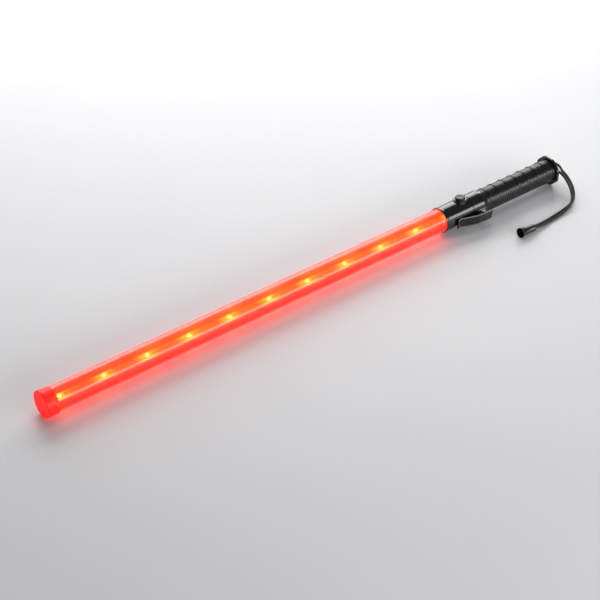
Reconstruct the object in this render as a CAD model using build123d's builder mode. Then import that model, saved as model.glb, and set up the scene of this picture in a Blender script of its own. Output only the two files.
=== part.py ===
from build123d import *
import os
from math import atan, cos, pi, radians, sin, tan

# LED traffic baton: a red light tube on a battery handle, lying on a surface with its
# belt clip and its wrist strap on one side. Millimetres. Stations run along the baton
# from the tip's end face, heights run outwards from the baton's centre line.

# ---- light tube and tip ------------------------------------------------------------
tube_radius = 17.5
tube_wall = 1.7
tube_end = 664.0
glue_gap = 0.05
cap_wall = 3.0
cap_length = 17.0
cap_rim_rise = 1.5
cap_rim_radius = tube_radius + cap_rim_rise
cap_rim_width = 4.0
cap_rim_round = 1.6
cap_taper_length = 10.2
cap_taper_rise = 0.25
cap_skirt = 0.7
cap_dish_edge = 6.0
cap_dish_radius = cap_rim_radius - cap_dish_edge
cap_dish_depth = 0.8
spigot_length = 7.0
spigot_wall = 1.4
spigot_gap = 0.1

# ---- light engine ------------------------------------------------------------------
prism_outer_gap = 0.2
prism_wall = 0.7
prism_depth = 0.9
prism_count = 32
prism_setback = 4.0
prism_end = tube_end - prism_setback
board_width = 12.0
board_thickness = 1.6
board_start = 5.0
board_reach = 4.0
board_end = tube_end + board_reach
holder_thickness = 3.8
slot_gap = 0.1
led_count = 10
led_first = 26.0
led_last_gap = 58.4
led_pitch = (tube_end - led_last_gap - led_first) / (led_count - 1)
led_base_radius = 2.8
led_base_height = 0.8
led_dome_radius = 2.4
led_dome_height = 2.9
led_dome_round = 1.7
resistor_length = 3.2
resistor_width = 1.6
resistor_height = 0.6
resistor_offset = 9.0

# ---- head --------------------------------------------------------------------------
tube_seat = 14.0
head_start = tube_end - tube_seat
head_length = 51.0
head_end = head_start + head_length
head_rise = 1.0
head_radius = tube_radius + head_rise
head_lip_rise = 0.4
head_lip_radius = head_radius + head_lip_rise
head_lip_width = 2.4
head_lip_front_round = 0.8
head_lip_rear_round = 1.5
head_rear_rise = 0.3
head_rear_radius = head_radius + head_rear_rise
head_wall = 1.9
head_bore = head_radius - head_wall
button_setback = 11.0
button_station = head_end - button_setback
button_radius = 7.25
button_gap = 0.1
button_angle = 94.0
button_flange_rise = 0.6
button_flange = button_radius + button_flange_rise
button_hole_gap = 0.25
button_hole = button_flange + button_hole_gap
bezel_rim = 1.4
bezel_radius = button_hole + bezel_rim
pad_margin = 1.0
pad_radius = bezel_radius + pad_margin
pad_rise = 1.4
pad_height = head_radius + pad_rise
pad_round = 0.8

bezel_height = 1.2
bezel_skirt = 2.4
bezel_outer_round = 0.6
bezel_inner_round = 0.3
button_rise = 4.0
button_top = pad_height + button_rise
button_flange_thickness = 1.2
button_round = 1.1
button_dish_edge = 2.05
button_dish_radius = button_radius - button_dish_edge
button_dish_depth = 0.5
switch_size = 13.0
switch_base = 2.6
switch_drop = 7.9
switch_top = pad_height - switch_drop
switch_chamfer = 0.5
plunger_radius = 1.9
plunger_gap = 0.05
plunger_depth = 1.8
plunger_well = 4.6
spring_wire = 0.25
spring_turns = 3
spring_offset = 1.6
switch_board_length = 22.0
switch_board_width = 24.0
switch_board_setback = 29.0
switch_board_front = head_end - switch_board_setback

# ---- handle and battery compartment ------------------------------------------------
seam_width = 1.0
seam_depth = 0.3
seam_radius = head_radius - seam_depth
swell_rise = 0.7
swell_radius = head_radius + swell_rise
swell_taper = 0.2
swell_round = 4.0
swell_length = 21.0
swell_end = head_end + swell_length
shoulder_length = 5.0
shoulder_end = swell_end + shoulder_length
body_wall = 1.6
body_spigot = 2.5
body_spigot_wall = 1.2
funnel_length = 3.0
cell_gap = 0.3
cell_radius = 13.1
body_radius = cell_radius + cell_gap + body_wall
cell_can = 48.5
cell_round = 1.0
nub_radius = 3.5
nub_height = 1.5
cell_room = 12.0
bulkhead_front = shoulder_end + cell_room
bulkhead_thickness = 5.0
contact_radius = 5.0
contact_thickness = 1.2
rivet_radius = 1.5
rivet_head = 1.0
thread_depth = 0.8
thread_radius = cell_radius + thread_depth
thread_length = 12.5
groove_width = 5.0
groove_depth = 0.9
strip_width = 4.0
strip_thickness = 0.4
strip_lead = 4.0
groove_lead = 1.0
wire_radius = 0.7
wire_spread = 5.0
wire_hold = 7.0
wire_lead = 3.0
wire_drop = 15.0
wire_gather = 0.6
wire_tail = 9.0

# ---- rubber grip -------------------------------------------------------------------
grip_wall = 1.5
grip_radius = body_radius + grip_wall
grip_lead_rise = 1.6
grip_lead_radius = grip_radius + grip_lead_rise
grip_lead_length = 4.0
grip_neck_rise = 0.6
grip_neck_radius = grip_radius + grip_neck_rise
grip_tail_length = 2.5
grip_tail_rise = 0.9
grip_tail_radius = grip_radius + grip_tail_rise
first_ring_offset = 10.0
grip_first_ring = shoulder_end + first_ring_offset
ring_pitch = 18.95
ring_count = 7
ring_rise = 1.2
ring_radius = grip_radius + ring_rise
ring_width = 1.8
ring_top = 0.6
rib_height = 0.45
ribs_per_ring = 4

# ---- tail cap ----------------------------------------------------------------------
tail_room = 20.5
cells_length = 2 * (cell_can + nub_height)
flange_front = bulkhead_front + bulkhead_thickness + cells_length + tail_room
flange_thickness = 4.5
flange_sides = 8
flange_across_flats = 43.4
flange_corner_round = 9.0
flange_round = 1.4
dome_edge = 3.4
dome_base_radius = flange_across_flats / 2 - dome_edge
dome_rise = 0.6
dome_radius = 9.0
dome_height = 3.5
plug_setback = 3.0
thread_gap = 0.05
tail_contact_edge = 2.9
tail_contact_radius = thread_radius - tail_contact_edge
tail_contact_round = 0.4
tail_spring_radius = 5.0
tail_spring_taper = 25.0
seal_section = 1.1
seal_gap = 0.1
seal_setback = 3.5
seal_station = flange_front - seal_setback
lug_thickness = 6.0
lug_radius = 5.7
eye_offset = 11.3
eye_station = flange_front + eye_offset
eye_radius = 2.5
eye_round = 0.5

# ---- belt clip ---------------------------------------------------------------------
clip_angle = -8.0
clip_width = 14.4
clip_thickness = 2.0
clip_rise = 5.0
clip_rib_height = 0.5
clip_rib_width = 1.6
clip_rib_pitch = 4.0
clip_tail = 13.0
clip_lip_round = 4.0
clip_thumb_round = 1.2
pivot_offset = 13.0
pivot_station = head_end + pivot_offset
pin_radius = 1.25
pin_gap = 0.05
ear_radius = 2.7
ear_thickness = 2.0
ear_offset = 5.6
lug_side_gap = 0.2
saddle_half = 9.0
saddle_front = pivot_station - saddle_half
saddle_rear = pivot_station + saddle_half
saddle_rise = 1.4
saddle_height = swell_radius + saddle_rise
pivot_rise = 4.6
pivot_height = saddle_height + pivot_rise
saddle_gap = 0.02
screw_radius = 1.2
screw_head_radius = 2.2
screw_head_height = 1.2
screw_length = 3.6
screw_front_offset = 6.2
screw_front = pivot_station - screw_front_offset
screw_rear_offset = 6.4
screw_rear = pivot_station + screw_rear_offset
coil_radius = 2.1
coil_wire = 0.35
saddle_corner = 3.0
ear_foot = 4.5
ear_sink = 1.0
saddle_margin = 1.0
knuckle_spread = 1.0

# ---- wrist strap -------------------------------------------------------------------
cord_diameter = 4.3
bell_neck_length = 6.0
bell_neck_radius = 5.5
bell_neck_round = 0.5
bell_length = 21.0
bell_waist_length = 11.5
bell_waist_radius = 6.0
bell_mouth_radius = 7.6
bell_bore = 4.4
bell_wall = 0.8
knot_radius = 4.5
knot_length = 7.5
knot_front_round = 1.0
knot_rear_round = 1.5
knot_shoulder = 2.25

# ---- attitude: the baton rests on its tip rim and on one flat of its tail cap's flange ----
total_length = eye_station + lug_radius
flange_reach = flange_across_flats / 2
rim_contact = cap_rim_round
flange_contact = flange_front + flange_round
tilt = atan((flange_reach - cap_rim_radius) / (flange_contact - rim_contact))
clip_outer_height = pivot_height + clip_rise
clip_reach = clip_outer_height * cos(radians(clip_angle)) - clip_width / 2 * sin(radians(clip_angle))
axis_offset = (clip_reach - flange_reach) / 2
along_baton = Vector(cos(tilt), 0, sin(tilt))
upwards = Vector(-sin(tilt), 0, cos(tilt))
sideways = Vector(0, -1, 0)
tip = Vector(
    -total_length * cos(tilt) / 2,
    axis_offset,
    cap_rim_radius * cos(tilt) - rim_contact * sin(tilt),
)
baton_axis = Axis(tip, along_baton)

# route of each strand from the eye to the bell: along and across from the eye, then
# the height of its centre above the surface that the baton lies on
eye = tip + along_baton * eye_station
strand_a_route = [
    (0, 0, eye.Z), (0, -6.4, eye.Z), (1.6, -13.0, 21.5), (0.5, -24.2, 20.3), (-2.8, -35.2, 17.4),
    (-6.6, -44.8, 14.0), (-11.8, -53.8, 11.2), (-18.9, -62.4, 8.8), (-28.8, -70.4, 6.6),
    (-45.2, -75.2, 3.2), (-64.6, -77.9, 2.2), (-84.8, -79.8, 2.2), (-105.2, -82.2, 5.2),
    (-120.2, -82.2, 6.2),
]
strand_b_route = [
    (0, 0, eye.Z), (0, 6.8, eye.Z), (3.9, 12.0, eye.Z), (9.8, 12.3, eye.Z), (13.4, 7.0, 21.8),
    (13.3, 0.0, 21.7), (10.9, -7.2, 21.6), (7.0, -14.0, 21.3), (5.4, -25.2, 19.7),
    (1.9, -36.8, 16.4), (-2.3, -47.2, 12.2), (-8.7, -56.4, 7.4), (-17.6, -63.6, 3.4),
    (-31.1, -67.6, 2.2), (-46.1, -70.1, 2.2), (-65.2, -72.9, 2.2), (-85.3, -74.9, 2.2),
    (-105.2, -77.8, 5.2), (-120.2, -77.8, 6.2),
]


def heading(angle):
    """Direction out of the centre line: 0 is level on the clip's side, 90 is up"""
    return sideways * cos(radians(angle)) + upwards * sin(radians(angle))


def along(angle):
    """Plane through the centre line: x is the station, y is the height"""
    return Plane(origin=tip, x_dir=along_baton, z_dir=along_baton.cross(heading(angle)))


def across(station, angle):
    """Plane square to the centre line, with x in the given direction"""
    return Plane(origin=tip + along_baton * station, x_dir=heading(angle), z_dir=along_baton)


def facing(station, height, angle):
    """Plane that faces out of the baton, with x along it"""
    origin = tip + along_baton * station + heading(angle) * height
    return Plane(origin=origin, x_dir=along_baton, z_dir=heading(angle))


profile = along(90)
button_profile = along(button_angle)
clip_profile = along(clip_angle)


def finish(part, label):
    """Name a finished piece and write it"""
    part.part.label = label
    export_step(part.part, "parts/" + label + ".step")


def outline(points, rounded=()):
    """Closed outline in station and height, with some of its corners rounded"""
    Polygon(*points, align=None)
    for corner, radius in rounded:
        fillet(vertices().sort_by_distance(corner)[0], radius)


def tube_outline(start, end, inner, outer):
    """Outline of a plain sleeve round the centre line"""
    Polygon((start, inner), (end, inner), (end, outer), (start, outer), align=None)


def led_stations():
    """Places of the light-emitting diodes along the board"""
    return [led_first + led_pitch * i for i in range(led_count)]


# ---- light tube, tip cap and light engine -------------------------------------------
tube_bore = tube_radius - tube_wall
spigot_radius = tube_bore - spigot_gap
cap_bore = tube_radius + glue_gap
cap_skirt_radius = tube_radius + cap_skirt
tip_holder_radius = spigot_radius - spigot_wall - slot_gap
head_holder_radius = head_bore - slot_gap


def make_tip_cap():
    spigot_end = cap_wall + spigot_length
    spigot_bore = spigot_radius - spigot_wall
    points = [
        (cap_dish_depth, 0), (cap_dish_depth, cap_dish_radius - cap_dish_depth),
        (0, cap_dish_radius), (0, cap_rim_radius), (cap_rim_width, cap_rim_radius),
        (cap_taper_length, cap_skirt_radius + cap_taper_rise), (cap_length, cap_skirt_radius),
        (cap_length, cap_bore), (cap_wall, cap_bore), (cap_wall, spigot_radius),
        (spigot_end, spigot_radius), (spigot_end, spigot_bore), (cap_wall, spigot_bore),
        (cap_wall, 0),
    ]
    with BuildPart() as tip_cap:
        with BuildSketch(profile):
            outline(points, [((0, cap_rim_radius), cap_rim_round)])
        revolve(axis=baton_axis)
    finish(tip_cap, "tip_cap")


def make_light_tube():
    with BuildPart() as light_tube:
        with BuildSketch(profile):
            tube_outline(cap_wall, tube_end, tube_bore, tube_radius)
        revolve(axis=baton_axis)
    finish(light_tube, "light_tube")


def make_prism_sleeve():
    start = cap_wall + spigot_length + prism_outer_gap
    outer = tube_bore - prism_outer_gap
    root = outer - prism_wall
    crest = root - prism_depth
    half_step = 180 / prism_count
    star = [
        Vector(crest if i % 2 else root, 0).rotate(Axis.Z, i * half_step)
        for i in range(2 * prism_count)
    ]
    with BuildPart() as prism_sleeve:
        with BuildSketch(across(start, button_angle)):
            Circle(outer)
            Polygon(*[(p.X, p.Y) for p in star], align=None, mode=Mode.SUBTRACT)
        extrude(amount=prism_end - start)
    finish(prism_sleeve, "prism_sleeve")


def make_led_board():
    with BuildPart() as led_board:
        with BuildSketch(facing(0, -board_thickness / 2, button_angle)):
            with Locations(((board_start + board_end) / 2, 0)):
                Rectangle(board_end - board_start, board_width)
        extrude(amount=board_thickness)
    finish(led_board, "led_board")


def make_leds(label, angle):
    """A row of domed diodes on one face of the board"""
    with BuildPart() as leds:
        with BuildSketch(facing(0, board_thickness / 2, angle)):
            with Locations(*[(station, 0) for station in led_stations()]):
                Circle(led_base_radius)
        extrude(amount=led_base_height)
        with BuildSketch(facing(0, board_thickness / 2 + led_base_height, angle)):
            with Locations(*[(station, 0) for station in led_stations()]):
                Circle(led_dome_radius)
        extrude(amount=led_dome_height)
        crowns = faces().filter_by(heading_axis(angle)).group_by(heading_axis(angle))[-1]
        fillet(crowns.edges(), led_dome_round)
    finish(leds, label)


def heading_axis(angle):
    """Axis out of the centre line, for choosing faces"""
    return Axis(tip, heading(angle))


def make_resistors():
    spots = [(station + resistor_offset, 0) for station in led_stations()]
    with BuildPart() as resistors:
        with BuildSketch(facing(0, board_thickness / 2, button_angle)):
            with Locations(*spots):
                Rectangle(resistor_length, resistor_width)
        extrude(amount=resistor_height)
    finish(resistors, "resistors")


def make_board_holder(label, start, end, radius):
    """Disc that carries one end of the board in a slot"""
    with BuildPart() as holder:
        with BuildSketch(across(start, button_angle)):
            Circle(radius)
        extrude(amount=end - start)
        with BuildSketch(across(max(start, board_start), button_angle)):
            Rectangle(board_thickness + 2 * slot_gap, board_width + 2 * slot_gap)
        extrude(amount=end - start, mode=Mode.SUBTRACT)
    finish(holder, label)


# ---- head with its push switch -------------------------------------------------------
def make_head_housing():
    outside = [
        (head_start, 0), (head_start, head_lip_radius),
        (head_start + head_lip_width, head_lip_radius),
        (head_start + 2 * head_lip_width, head_radius), (head_end, head_rear_radius), (head_end, 0),
    ]
    hollow = [
        (head_start, 0), (head_start, cap_bore), (tube_end, cap_bore), (tube_end, head_bore),
        (head_end, head_bore), (head_end, 0),
    ]
    lip_corners = [
        ((head_start, head_lip_radius), head_lip_front_round),
        ((head_start + head_lip_width, head_lip_radius), head_lip_rear_round),
    ]
    with BuildPart() as head_housing:
        with BuildSketch(profile):
            outline(outside, lip_corners)
        revolve(axis=baton_axis)
        with BuildSketch(facing(button_station, head_bore / 2, button_angle)):
            Circle(pad_radius)
        extrude(amount=pad_height - head_bore / 2)
        fillet(faces().sort_by(heading_axis(button_angle))[-1].edges(), pad_round)
        with BuildSketch(profile):
            Polygon(*hollow, align=None)
        revolve(axis=baton_axis, mode=Mode.SUBTRACT)
        with BuildSketch(facing(button_station, 0, button_angle)):
            Circle(button_hole)
        extrude(amount=button_top, mode=Mode.SUBTRACT)
    finish(head_housing, "head_housing")


def turned_on_button(points, rounded, label):
    """Piece turned about the button's own centre line: across, then out of the head"""
    axis_plane = facing(button_station, 0, button_angle)
    turning = Plane(origin=axis_plane.origin, x_dir=along_baton, z_dir=axis_plane.y_dir * -1)
    with BuildPart() as piece:
        with BuildSketch(turning):
            outline(points, rounded)
        revolve(axis=Axis(axis_plane.origin, axis_plane.z_dir))
    finish(piece, label)


def make_button_bezel():
    inner = button_radius + button_gap
    skirt = button_hole - glue_gap
    top = pad_height + bezel_height
    points = [
        (inner, pad_height - bezel_skirt), (skirt, pad_height - bezel_skirt), (skirt, pad_height),
        (bezel_radius, pad_height), (bezel_radius, top), (inner, top),
    ]
    rounded = [((bezel_radius, top), bezel_outer_round), ((inner, top), bezel_inner_round)]
    turned_on_button(points, rounded, "button_bezel")


def make_push_button():
    flange_top = pad_height - bezel_skirt - button_gap
    flange_base = flange_top - button_flange_thickness
    points = [
        (0, flange_base), (button_flange, flange_base), (button_flange, flange_top),
        (button_radius, flange_top), (button_radius, button_top), (button_dish_radius, button_top),
        (0, button_top - button_dish_depth),
    ]
    turned_on_button(points, [((button_radius, button_top), button_round)], "push_button")


button_underside = pad_height - bezel_skirt - button_gap - button_flange_thickness


def make_switch_plunger():
    points = [
        (0, switch_top - plunger_depth), (plunger_radius, switch_top - plunger_depth),
        (plunger_radius, button_underside), (0, button_underside),
    ]
    turned_on_button(points, [], "switch_plunger")


def make_switch_body():
    with BuildPart() as switch_body:
        with BuildSketch(facing(button_station, switch_base, button_angle)):
            Rectangle(switch_size, switch_size)
        extrude(amount=switch_top - switch_base)
        chamfer(faces().sort_by(heading_axis(button_angle))[-1].edges(), switch_chamfer)
        with BuildSketch(facing(button_station, switch_top, button_angle)):
            Circle(plunger_radius + plunger_gap)
        extrude(amount=-plunger_well, mode=Mode.SUBTRACT)
    finish(switch_body, "switch_body")


def make_button_spring():
    """Coil between the switch and the underside of the button"""
    coil = plunger_radius + spring_offset
    height = button_underside - switch_top - 2 * spring_wire
    base = facing(button_station, switch_top + spring_wire, button_angle)
    with BuildPart() as button_spring:
        with BuildLine() as path:
            Helix(height / spring_turns, height, coil, center=base.origin, direction=base.z_dir)
        with BuildSketch(Plane(origin=path.line @ 0, z_dir=path.line % 0)):
            Circle(spring_wire)
        sweep(path=path.line)
    finish(button_spring, "button_spring")


def make_switch_board():
    with BuildPart() as switch_board:
        with BuildSketch(facing(switch_board_front, switch_base - board_thickness, button_angle)):
            with Locations((switch_board_length / 2, 0)):
                Rectangle(switch_board_length, switch_board_width)
        extrude(amount=board_thickness)
    finish(switch_board, "switch_board")


# ---- handle body, seam ring, grip and electrics -----------------------------------------
cell_bore = cell_radius + cell_gap
bulkhead_rear = bulkhead_front + bulkhead_thickness
contact_rear = bulkhead_rear + contact_thickness
body_spigot_radius = head_bore - glue_gap
body_spigot_bore = body_spigot_radius - body_spigot_wall
seam_end = head_end + seam_width
thread_start = flange_front - thread_length
groove_start = swell_end + groove_lead
strip_start = shoulder_end + strip_lead


def make_seam_ring():
    with BuildPart() as seam_ring:
        with BuildSketch(profile):
            tube_outline(head_end, seam_end, body_spigot_radius + glue_gap, seam_radius)
        revolve(axis=baton_axis)
    finish(seam_ring, "seam_ring")


def make_handle_body():
    outside = [
        (head_end - body_spigot, 0), (head_end - body_spigot, body_spigot_radius),
        (seam_end, body_spigot_radius), (seam_end, swell_radius - swell_taper), (swell_end, swell_radius),
        (shoulder_end, grip_lead_radius), (shoulder_end, body_radius),
        (flange_front, body_radius), (flange_front, 0),
    ]
    front_cavity = [
        (head_end - body_spigot, 0), (head_end - body_spigot, body_spigot_bore),
        (swell_end, body_spigot_bore), (shoulder_end + funnel_length, cell_bore),
        (bulkhead_front, cell_bore),
        (bulkhead_front, 0),
    ]
    cell_space = [
        (bulkhead_rear, 0), (bulkhead_rear, cell_bore), (thread_start, cell_bore),
        (thread_start, thread_radius), (flange_front, thread_radius), (flange_front, 0),
    ]
    with BuildPart() as handle_body:
        with BuildSketch(profile):
            outline(outside, [((swell_end, swell_radius), swell_round)])
        revolve(axis=baton_axis)
        with BuildSketch(profile):
            Polygon(*front_cavity, align=None)
            Polygon(*cell_space, align=None)
        revolve(axis=baton_axis, mode=Mode.SUBTRACT)
        with BuildSketch(across(bulkhead_front, 0)):
            Circle(rivet_radius)
        extrude(amount=bulkhead_thickness, mode=Mode.SUBTRACT)
        with BuildSketch(across(groove_start, -90)):
            with Locations((cell_bore, 0)):
                Rectangle(2 * groove_depth, groove_width)
        extrude(amount=thread_start - groove_start, mode=Mode.SUBTRACT)
        for station in (screw_front, screw_rear):
            with BuildSketch(facing(station, saddle_height, clip_angle)):
                Circle(screw_radius + pin_gap)
            extrude(amount=-screw_length - 2 * screw_radius, mode=Mode.SUBTRACT)
    finish(handle_body, "handle_body")


def grip_points():
    """Outer outline of the rubber grip: fine ribs with a proud ring at each finger's width"""
    points = [(shoulder_end, grip_lead_radius), (shoulder_end + grip_lead_length, grip_neck_radius)]
    rib_pitch = ring_pitch / ribs_per_ring
    for i in range(ring_count * ribs_per_ring):
        station = grip_first_ring + i * rib_pitch
        if station + rib_pitch / 2 > flange_front:
            break
        if i % ribs_per_ring == 0:
            points += [
                (station - ring_width, grip_radius), (station - ring_top, ring_radius),
                (station + ring_top, ring_radius), (station + ring_width, grip_radius),
            ]
        else:
            points += [
                (station - rib_pitch / 3, grip_radius), (station, grip_radius + rib_height),
                (station + rib_pitch / 3, grip_radius),
            ]
    points += [(flange_front - grip_tail_length, grip_radius), (flange_front, grip_tail_radius)]
    return points


def make_grip_sleeve():
    bore = body_radius + glue_gap
    points = [(shoulder_end, bore)] + grip_points() + [(flange_front, bore)]
    with BuildPart() as grip_sleeve:
        with BuildSketch(profile):
            Polygon(*points, align=None)
        revolve(axis=baton_axis)
    finish(grip_sleeve, "grip_sleeve")


def make_battery(label, start):
    """C cell with its raised positive end towards the bulkhead"""
    can_start = start + nub_height
    can_end = can_start + cell_can
    points = [
        (start, 0), (start, nub_radius), (can_start, nub_radius), (can_start, cell_radius),
        (can_end, cell_radius), (can_end, 0),
    ]
    rounded = [((can_start, cell_radius), cell_round), ((can_end, cell_radius), cell_round)]
    with BuildPart() as battery:
        with BuildSketch(profile):
            outline(points, rounded)
        revolve(axis=baton_axis)
    finish(battery, label)


def make_front_contact():
    points = [
        (bulkhead_front - rivet_head, 0), (bulkhead_front - rivet_head, contact_radius / 2),
        (bulkhead_front, contact_radius / 2), (bulkhead_front, rivet_radius),
        (bulkhead_rear, rivet_radius), (bulkhead_rear, contact_radius),
        (contact_rear, contact_radius), (contact_rear, 0),
    ]
    with BuildPart() as front_contact:
        with BuildSketch(profile):
            Polygon(*points, align=None)
        revolve(axis=baton_axis)
    finish(front_contact, "front_contact")


def make_ground_strip():
    with BuildPart() as ground_strip:
        with BuildSketch(across(strip_start, -90)):
            with Locations((cell_bore + groove_depth - strip_thickness / 2, 0)):
                Rectangle(strip_thickness, strip_width)
        extrude(amount=thread_start - groove_lead - strip_start)
    finish(ground_strip, "ground_strip")


def lead_points(side, end_angle, end_station, end_height):
    """Easy bends of a lead from under the switch board down to a contact behind it"""
    board_rear = switch_board_front + switch_board_length
    level = switch_base - board_thickness - wire_radius
    upper = facing(0, 0, button_angle)
    lower = facing(0, 0, end_angle)
    return [
        upper.from_local_coords(Vector(board_rear - wire_hold, side, level)),
        upper.from_local_coords(Vector(board_rear + wire_lead, side, level)),
        upper.from_local_coords(Vector(board_rear + wire_drop, side * wire_gather, (level + end_height) / 2)),
        lower.from_local_coords(Vector(end_station - wire_tail, 0, end_height)),
        lower.from_local_coords(Vector(end_station, 0, end_height)),
    ]


def arc_radii(points):
    """Radius of each bend: as large as the shorter of its two runs allows"""
    radii = []
    for before, corner, after in zip(points, points[1:], points[2:]):
        shorter = min((corner - before).length, (after - corner).length)
        turn = radians((corner - before).get_angle(after - corner))
        radii.append(0.45 * shorter / tan(turn / 2))
    return radii


def make_round_line(points, radius, label):
    """Round cord or wire: straight runs joined by tangent arcs"""
    radii = arc_radii(points)
    with BuildPart() as line:
        with BuildLine() as path:
            FilletPolyline(*points, radius=radii)
        with BuildSketch(Plane(origin=path.line @ 0, z_dir=path.line % 0)):
            Circle(radius)
        sweep(path=path.line)
    length = sum(edge.length for edge in path.edges())
    ratio = line.part.volume / (pi * radius**2 * length)
    print(label, "length", round(length, 1), "radii", [round(r, 1) for r in radii], "fill", round(ratio, 4))
    finish(line, label)


def make_wires():
    positive = lead_points(wire_spread, 90, bulkhead_front - rivet_head, 0)
    negative = lead_points(-wire_spread, -90, strip_start, cell_bore)
    make_round_line(positive, wire_radius, "wire_positive")
    make_round_line(negative, wire_radius, "wire_negative")


# ---- tail cap with its spring, contact and seal --------------------------------------------
plug_radius = thread_radius - thread_gap
plug_start = thread_start + plug_setback
tail_contact_start = plug_start - contact_thickness
seal_groove_bottom = plug_radius - 2 * seal_section - thread_gap


def make_tail_cap():
    """Screw plug with a flange whose flats stop the baton from rolling, and a lug for the cord"""
    flange_rear = flange_front + flange_thickness
    seal_half = seal_section + seal_gap
    plug = [
        (plug_start, 0), (plug_start, plug_radius),
        (seal_station - seal_half, plug_radius), (seal_station - seal_half, seal_groove_bottom),
        (seal_station + seal_half, seal_groove_bottom), (seal_station + seal_half, plug_radius),
        (flange_front, plug_radius), (flange_rear, plug_radius), (flange_rear, dome_base_radius),
        (flange_rear + dome_rise, dome_base_radius), (flange_rear + dome_height, dome_radius),
        (flange_rear + dome_height, 0),
    ]
    with BuildPart() as tail_cap:
        with BuildSketch(across(flange_front, -90)):
            RegularPolygon(flange_reach, flange_sides, major_radius=False, rotation=180 / flange_sides)
            fillet(vertices(), flange_corner_round)
        extrude(amount=flange_thickness)
        fillet(edges().group_by(baton_axis)[0] + edges().group_by(baton_axis)[-1], flange_round)
        with BuildSketch(profile):
            Polygon(*plug, align=None)
        revolve(axis=baton_axis)
        with BuildSketch(facing(0, -lug_thickness / 2, 0)):
            with Locations((eye_station, 0)):
                Circle(lug_radius)
            with Locations(((flange_rear + eye_station) / 2, 0)):
                Rectangle(eye_station - flange_rear, 2 * lug_radius)
        extrude(amount=lug_thickness)
        with BuildSketch(facing(0, -lug_thickness / 2, 0)):
            with Locations((eye_station, 0)):
                Circle(eye_radius)
        extrude(amount=lug_thickness, mode=Mode.SUBTRACT)
        eye_rims = edges().filter_by(GeomType.CIRCLE).filter_by(lambda e: abs(e.radius - eye_radius) < 0.01)
        fillet(eye_rims, eye_round)
    finish(tail_cap, "tail_cap")


def make_tail_o_ring():
    with BuildPart() as tail_o_ring:
        with BuildSketch(profile):
            with Locations((seal_station, plug_radius - seal_section)):
                Circle(seal_section)
        revolve(axis=baton_axis)
    finish(tail_o_ring, "tail_o_ring")


def make_tail_contact():
    with BuildPart() as tail_contact:
        with BuildSketch(across(tail_contact_start, 0)):
            Circle(tail_contact_radius)
        extrude(amount=contact_thickness)
        fillet(edges().filter_by(GeomType.CIRCLE).sort_by(baton_axis)[0], tail_contact_round)
    finish(tail_contact, "tail_contact")


def make_tail_spring():
    """Tapered coil that presses the cells forwards"""
    cells_end = contact_rear + cells_length
    wire = 2 * spring_wire
    height = tail_contact_start - cells_end - 2 * wire
    start = tip + along_baton * (cells_end + wire)
    with BuildPart() as tail_spring:
        with BuildLine() as path:
            Helix(
                height / spring_turns, height, tail_spring_radius,
                center=start, direction=along_baton, cone_angle=tail_spring_taper,
            )
        with BuildSketch(Plane(origin=path.line @ 0, z_dir=path.line % 0)):
            Circle(wire)
        sweep(path=path.line)
    finish(tail_spring, "tail_spring")


# ---- belt clip ------------------------------------------------------------------------------
def clip_point(offset, drop):
    """Place on the clip, from its pivot along the baton and from its outer face inwards"""
    return (pivot_station + offset, clip_outer_height + drop)


def clip_inner():
    """Inner line of the clip, from its lip over its rubbing point to its thumb end"""
    return [
        clip_point(-47.0, -9.0), clip_point(-40.0, -11.25), clip_point(-31.5, -8.4),
        clip_point(-21.0, -4.9), clip_point(-11.0, -3.0), clip_point(0.0, -clip_thickness),
        clip_point(clip_tail, -clip_thickness),
    ]


def clip_outer():
    """Outer line of the clip, one wall further out"""
    return [
        clip_point(clip_tail - 0.6, 0.0), clip_point(-1.0, 0.0), clip_point(-12.0, -1.0),
        clip_point(-22.0, -2.9), clip_point(-32.4, -6.4), clip_point(-40.0, -9.1),
        clip_point(-46.4, -7.0),
    ]


def make_belt_clip():
    lug_half = ear_offset - lug_side_gap
    knuckle = [
        (pivot_station - ear_radius, pivot_height), (pivot_station + ear_radius, pivot_height),
        (pivot_station + ear_radius + knuckle_spread, clip_outer_height - clip_thickness),
        (pivot_station - ear_radius - knuckle_spread, clip_outer_height - clip_thickness),
    ]
    rib_line = clip_outer()[2:5]
    rib = rib_line + [(s, h + clip_rib_height) for s, h in reversed(rib_line)]
    with BuildPart() as belt_clip:
        with BuildSketch(clip_profile):
            Polygon(*(clip_inner() + clip_outer()), align=None)
            fillet(vertices().sort_by_distance(clip_inner()[1])[0], clip_lip_round)
            fillet(vertices().sort_by_distance(clip_outer()[0])[0], clip_thumb_round)
        extrude(amount=clip_width / 2, both=True)
        with BuildSketch(clip_profile):
            Polygon(*rib, align=None)
        extrude(amount=clip_rib_width / 2, both=True)
        for side in (-1, 1):
            with BuildSketch(clip_profile.offset(side * clip_rib_pitch - clip_rib_width / 2)):
                Polygon(*rib, align=None)
            extrude(amount=clip_rib_width)
            with BuildSketch(clip_profile.offset(side * lug_half)):
                Polygon(*knuckle, align=None)
                with Locations((pivot_station, pivot_height)):
                    Circle(ear_radius)
            extrude(amount=-side * ear_thickness)
        with BuildSketch(clip_profile):
            with Locations((pivot_station, pivot_height)):
                Circle(pin_radius + pin_gap)
        extrude(amount=clip_width, both=True, mode=Mode.SUBTRACT)
    finish(belt_clip, "belt_clip")


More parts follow.
